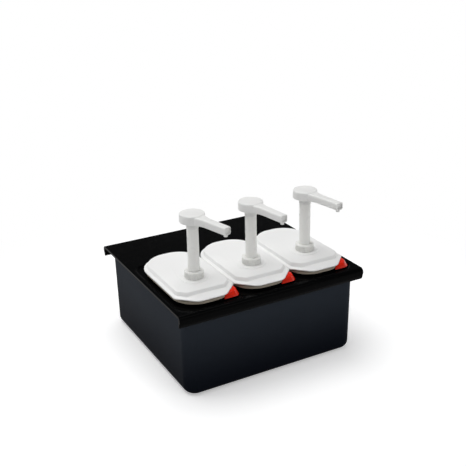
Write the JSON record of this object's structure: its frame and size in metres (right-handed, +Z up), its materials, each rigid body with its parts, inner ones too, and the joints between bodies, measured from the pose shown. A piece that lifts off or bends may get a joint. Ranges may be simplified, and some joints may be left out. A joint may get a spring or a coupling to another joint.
{
  "type": "condiment dispenser set",
  "caption": "Countertop condiment dispenser: a black box and drip deck that hold white-lidded pump jars in a row, each with a press head, a spout and a lift-out jar",
  "frame": {"origin": "on the surface that the box stands on, under the middle of the box", "axes": "+Z up, X along the row of pumps, -Y is the front, where the spouts reach"},
  "size_m": [0.39, 0.3704, 0.3185],
  "materials": {
    "housing_plastic": "glossy moulded black plastic",
    "deck_plastic": "glossy moulded black plastic",
    "jar_plastic": "smooth tan plastic",
    "tab_plastic": "glossy red plastic",
    "lid_plastic": "satin white plastic",
    "pump_plastic": "satin white plastic",
    "head_plastic": "satin white plastic",
    "tube_plastic": "smooth milky plastic",
    "seal_rubber": "matte black rubber",
    "spring_steel": "bright drawn steel"
  },
  "bodies": {
    "housing": {"housing": "housing_plastic"},
    "deck": {"deck": "deck_plastic"},
    "left_jar_body": {"left_jar": "jar_plastic", "left_corner_tab": "tab_plastic"},
    "left_lid_body": {"left_lid": "lid_plastic", "left_collar": "pump_plastic", "left_gasket": "seal_rubber", "left_cylinder": "pump_plastic", "left_guide_bush": "pump_plastic", "left_return_spring": "spring_steel", "left_ball_cage": "pump_plastic", "left_dip_tube": "tube_plastic"},
    "left_plunger": {"left_stem": "pump_plastic", "left_piston_seal": "seal_rubber", "left_piston_foot": "pump_plastic"},
    "left_head_body": {"left_head": "head_plastic"},
    "left_inlet_ball_body": {"left_inlet_ball": "spring_steel"},
    "left_outlet_ball_body": {"left_outlet_ball": "spring_steel"},
    "centre_jar_body": {"centre_jar": "jar_plastic", "centre_corner_tab": "tab_plastic"},
    "centre_lid_body": {"centre_lid": "lid_plastic", "centre_collar": "pump_plastic", "centre_gasket": "seal_rubber", "centre_cylinder": "pump_plastic", "centre_guide_bush": "pump_plastic", "centre_return_spring": "spring_steel", "centre_ball_cage": "pump_plastic", "centre_dip_tube": "tube_plastic"},
    "centre_plunger": {"centre_stem": "pump_plastic", "centre_piston_seal": "seal_rubber", "centre_piston_foot": "pump_plastic"},
    "centre_head_body": {"centre_head": "head_plastic"},
    "centre_inlet_ball_body": {"centre_inlet_ball": "spring_steel"},
    "centre_outlet_ball_body": {"centre_outlet_ball": "spring_steel"},
    "right_jar_body": {"right_jar": "jar_plastic", "right_corner_tab": "tab_plastic"},
    "right_lid_body": {"right_lid": "lid_plastic", "right_collar": "pump_plastic", "right_gasket": "seal_rubber", "right_cylinder": "pump_plastic", "right_guide_bush": "pump_plastic", "right_return_spring": "spring_steel", "right_ball_cage": "pump_plastic", "right_dip_tube": "tube_plastic"},
    "right_plunger": {"right_stem": "pump_plastic", "right_piston_seal": "seal_rubber", "right_piston_foot": "pump_plastic"},
    "right_head_body": {"right_head": "head_plastic"},
    "right_inlet_ball_body": {"right_inlet_ball": "spring_steel"},
    "right_outlet_ball_body": {"right_outlet_ball": "spring_steel"}
  },
  "joints": [
    {"name": "deck_lift", "type": "slide", "parent": "housing", "child": "deck", "axis": [0, 0, 1], "range_m": [0, 0.17]},
    {"name": "left_jar_lift", "type": "slide", "parent": "deck", "child": "left_jar_body", "axis": [0, 0, 1], "range_m": [0, 0.17]},
    {"name": "left_lid_lift", "type": "slide", "parent": "left_jar_body", "child": "left_lid_body", "axis": [0, 0, 1], "range_m": [0, 0.17]},
    {"name": "left_pump_press", "type": "slide", "parent": "left_lid_body", "child": "left_plunger", "axis": [0, 0, -1], "range_m": [0, 0.075], "stiffness_N_per_m": 200, "springref_m": -0.04, "deforming": ["left_return_spring"]},
    {"name": "left_head_turn", "type": "hinge", "parent": "left_plunger", "child": "left_head_body", "pos_m": [-0.1205, -0.093, 0.3], "axis": [0, 0, 1], "continuous": true},
    {"name": "left_inlet_ball_lift", "type": "slide", "parent": "left_lid_body", "child": "left_inlet_ball_body", "axis": [0, 0, 1], "range_m": [0, 0.003]},
    {"name": "left_outlet_ball_lift", "type": "slide", "parent": "left_plunger", "child": "left_outlet_ball_body", "axis": [0, 0, 1], "range_m": [0, 0.003]},
    {"name": "centre_jar_lift", "type": "slide", "parent": "deck", "child": "centre_jar_body", "axis": [0, 0, 1], "range_m": [0, 0.17]},
    {"name": "centre_lid_lift", "type": "slide", "parent": "centre_jar_body", "child": "centre_lid_body", "axis": [0, 0, 1], "range_m": [0, 0.17]},
    {"name": "centre_pump_press", "type": "slide", "parent": "centre_lid_body", "child": "centre_plunger", "axis": [0, 0, -1], "range_m": [0, 0.075], "stiffness_N_per_m": 200, "springref_m": -0.04, "deforming": ["centre_return_spring"]},
    {"name": "centre_head_turn", "type": "hinge", "parent": "centre_plunger", "child": "centre_head_body", "pos_m": [0, -0.093, 0.3], "axis": [0, 0, 1], "continuous": true},
    {"name": "centre_inlet_ball_lift", "type": "slide", "parent": "centre_lid_body", "child": "centre_inlet_ball_body", "axis": [0, 0, 1], "range_m": [0, 0.003]},
    {"name": "centre_outlet_ball_lift", "type": "slide", "parent": "centre_plunger", "child": "centre_outlet_ball_body", "axis": [0, 0, 1], "range_m": [0, 0.003]},
    {"name": "right_jar_lift", "type": "slide", "parent": "deck", "child": "right_jar_body", "axis": [0, 0, 1], "range_m": [0, 0.17]},
    {"name": "right_lid_lift", "type": "slide", "parent": "right_jar_body", "child": "right_lid_body", "axis": [0, 0, 1], "range_m": [0, 0.17]},
    {"name": "right_pump_press", "type": "slide", "parent": "right_lid_body", "child": "right_plunger", "axis": [0, 0, -1], "range_m": [0, 0.075], "stiffness_N_per_m": 200, "springref_m": -0.04, "deforming": ["right_return_spring"]},
    {"name": "right_head_turn", "type": "hinge", "parent": "right_plunger", "child": "right_head_body", "pos_m": [0.1205, -0.093, 0.3], "axis": [0, 0, 1], "continuous": true},
    {"name": "right_inlet_ball_lift", "type": "slide", "parent": "right_lid_body", "child": "right_inlet_ball_body", "axis": [0, 0, 1], "range_m": [0, 0.003]},
    {"name": "right_outlet_ball_lift", "type": "slide", "parent": "right_plunger", "child": "right_outlet_ball_body", "axis": [0, 0, 1], "range_m": [0, 0.003]}
  ]
}
